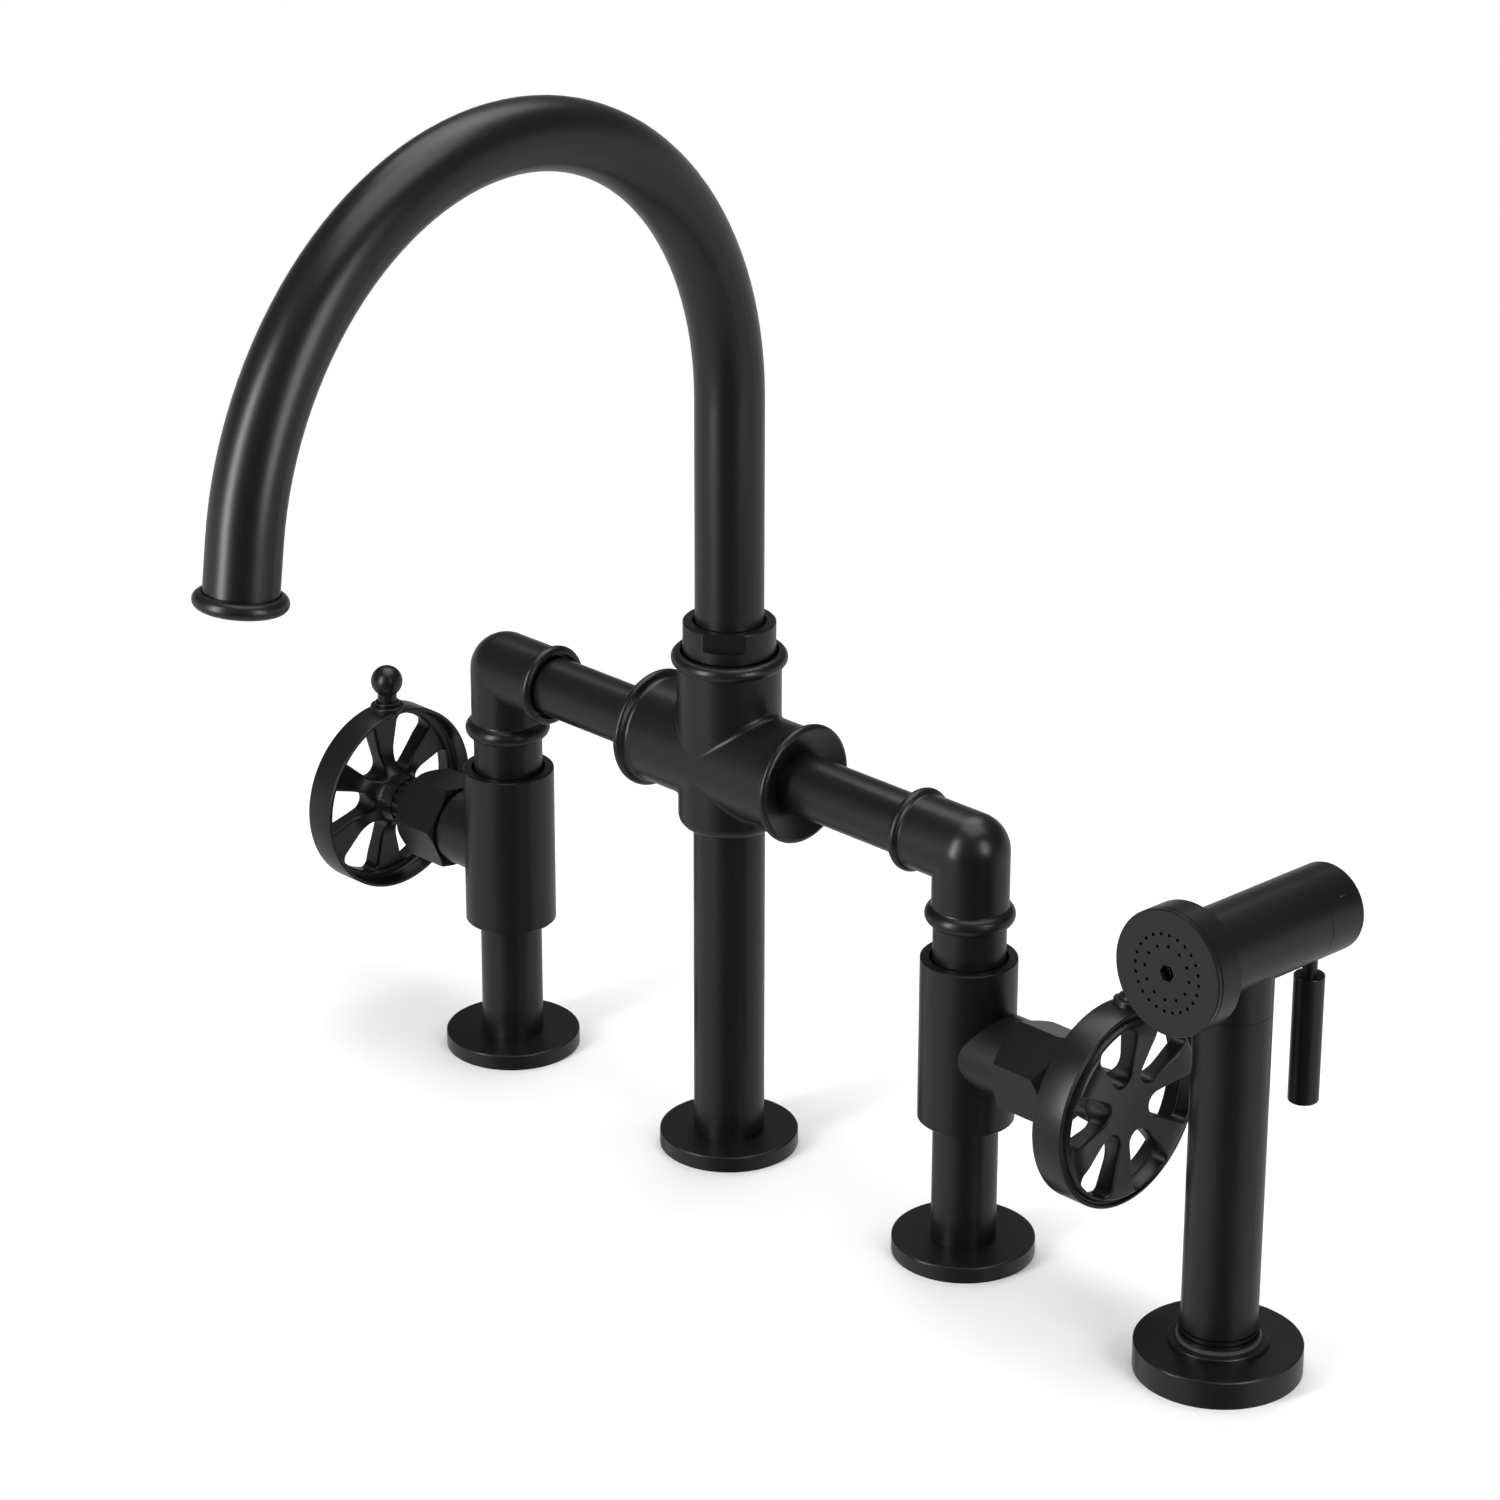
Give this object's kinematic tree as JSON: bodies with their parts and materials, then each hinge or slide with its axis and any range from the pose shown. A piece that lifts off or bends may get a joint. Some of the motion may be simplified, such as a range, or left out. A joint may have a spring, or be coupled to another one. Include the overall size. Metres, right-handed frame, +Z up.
{
  "type": "bridge kitchen faucet",
  "caption": "Deck-mounted bridge kitchen faucet with a swivelling gooseneck spout, spoked handwheel valves and a side sprayer in its own holder.",
  "frame": {"origin": "on the deck, on the axis of the centre leg", "axes": "+X to the user's right towards the sprayer, -Y towards the user and the sink, +Z up"},
  "size_m": [0.3969, 0.2644, 0.4287],
  "materials": {
    "black_coat": "satin black coating over brass",
    "bare_brass": "machined",
    "steel": "plain",
    "black_rubber": "matte",
    "ceramic": "lapped ceramic",
    "nylon": "moulded"
  },
  "bodies": {
    "bridge": {"center_flange": "black_coat", "sprayer_flange": "black_coat", "deck_gaskets": "black_rubber", "center_shank": "bare_brass", "deck_washers": "steel", "lock_nuts": "bare_brass", "center_leg": "black_coat", "fixed_discs": "ceramic", "seat_washers": "black_rubber", "bridge_cross": "black_coat", "spout_nut": "black_coat", "sprayer_holder": "black_coat", "left_flange": "black_coat", "left_shank": "bare_brass", "left_leg": "black_coat", "left_valve_core": "bare_brass", "left_valve_sleeve": "black_coat", "left_valve_port": "black_coat", "left_bonnet": "black_coat", "left_cartridge": "bare_brass", "left_nipple": "black_coat", "left_elbow": "black_coat", "left_bridge_pipe": "black_coat", "right_flange": "black_coat", "right_shank": "bare_brass", "right_leg": "black_coat", "right_valve_core": "bare_brass", "right_valve_sleeve": "black_coat", "right_valve_port": "black_coat", "right_bonnet": "black_coat", "right_cartridge": "bare_brass", "right_nipple": "black_coat", "right_elbow": "black_coat", "right_bridge_pipe": "black_coat"},
    "spout": {"spout": "black_coat", "spout_clip": "nylon", "spout_o_rings": "black_rubber", "aerator_ring": "black_coat", "aerator_insert": "nylon"},
    "holder_bush": {"holder_bush": "nylon"},
    "sprayer": {"sprayer_foot": "black_coat", "sprayer_grip": "black_coat", "spray_head": "black_coat", "spray_face": "black_coat", "spray_rear": "black_coat", "lever_pin": "steel"},
    "lever": {"lever": "black_coat"},
    "plunger": {"plunger": "steel", "plunger_spring": "steel"},
    "left_handle": {"left_turning_disc": "ceramic", "left_spindle": "bare_brass", "left_handwheel": "black_coat", "left_hub_collar": "black_coat", "left_finial": "black_coat"},
    "right_handle": {"right_turning_disc": "ceramic", "right_spindle": "bare_brass", "right_handwheel": "black_coat", "right_hub_collar": "black_coat", "right_finial": "black_coat"}
  },
  "joints": [
    {"name": "spout_swivel", "type": "hinge", "parent": "bridge", "child": "spout", "pos_m": [0, 0, 0.15], "axis": [0, 0, 1], "continuous": true},
    {"name": "left_handle_turn", "type": "hinge", "parent": "bridge", "child": "left_handle", "pos_m": [-0.15, 0, 0.072], "axis": [1, 0, 0], "range_deg": [0, 90]},
    {"name": "right_handle_turn", "type": "hinge", "parent": "bridge", "child": "right_handle", "pos_m": [0.15, 0, 0.072], "axis": [1, 0, 0], "range_deg": [0, 90]},
    {"name": "sprayer_turn", "type": "hinge", "parent": "bridge", "child": "holder_bush", "pos_m": [0.2032, 0, 0], "axis": [0, 0, 1], "range_deg": [-90, 50]},
    {"name": "sprayer_lift", "type": "slide", "parent": "holder_bush", "child": "sprayer", "axis": [0, 0, 1], "range_m": [0, 0.045]},
    {"name": "lever_squeeze", "type": "hinge", "parent": "sprayer", "child": "lever", "pos_m": [0.2032, 0.0349, 0.14274], "axis": [-1, 0, 0], "range_deg": [0, 12], "stiffness_Nm_per_rad": 0.4, "springref_deg": -17.19},
    {"name": "plunger_slide", "type": "slide", "parent": "sprayer", "child": "plunger", "axis": [0, -0.9991, 0.0419], "range_m": [0, 0.0013], "deforming": ["plunger_spring"]}
  ],
  "couplings": [
    {"joint": "plunger_slide", "follows": "lever_squeeze", "m_per_rad": 0.006}
  ]
}
